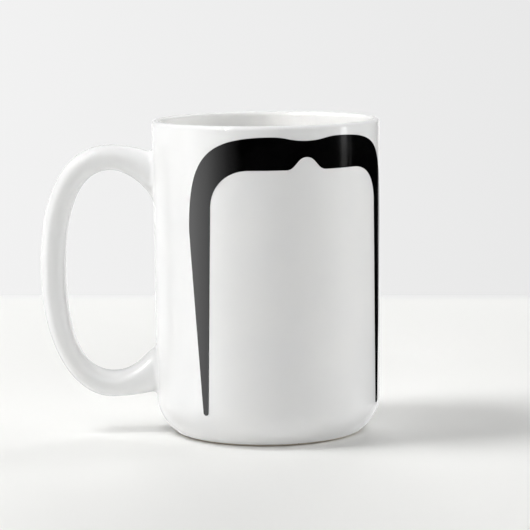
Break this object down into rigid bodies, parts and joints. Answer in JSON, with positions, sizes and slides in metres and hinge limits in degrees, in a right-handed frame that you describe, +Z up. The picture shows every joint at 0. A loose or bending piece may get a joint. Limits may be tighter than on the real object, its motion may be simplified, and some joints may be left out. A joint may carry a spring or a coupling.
{
  "type": "ceramic mug",
  "caption": "Tall straight-sided glazed ceramic mug with a looped side handle, a rounded heel on a bare foot ring and a black moustache silhouette printed round its upper wall.",
  "frame": {"origin": "on the cup's axis, in the plane that the foot ring stands on", "axes": "+Z up along the cup's axis, -X from the axis toward the handle, -Y toward the side that carries the print"},
  "size_m": [0.1289, 0.0862, 0.1187],
  "materials": {
    "bare_clay": "matte",
    "dried_slip": "matte",
    "white_glaze": "gloss",
    "black_ink": "gloss"
  },
  "bodies": {
    "root": {"mug_body": "bare_clay", "base_glaze": "white_glaze", "liner_glaze": "white_glaze", "outer_glaze": "white_glaze", "moustache_print": "black_ink", "handle": "bare_clay", "upper_slip_joint": "dried_slip", "lower_slip_joint": "dried_slip", "handle_glaze": "white_glaze"}
  },
  "joints": []
}
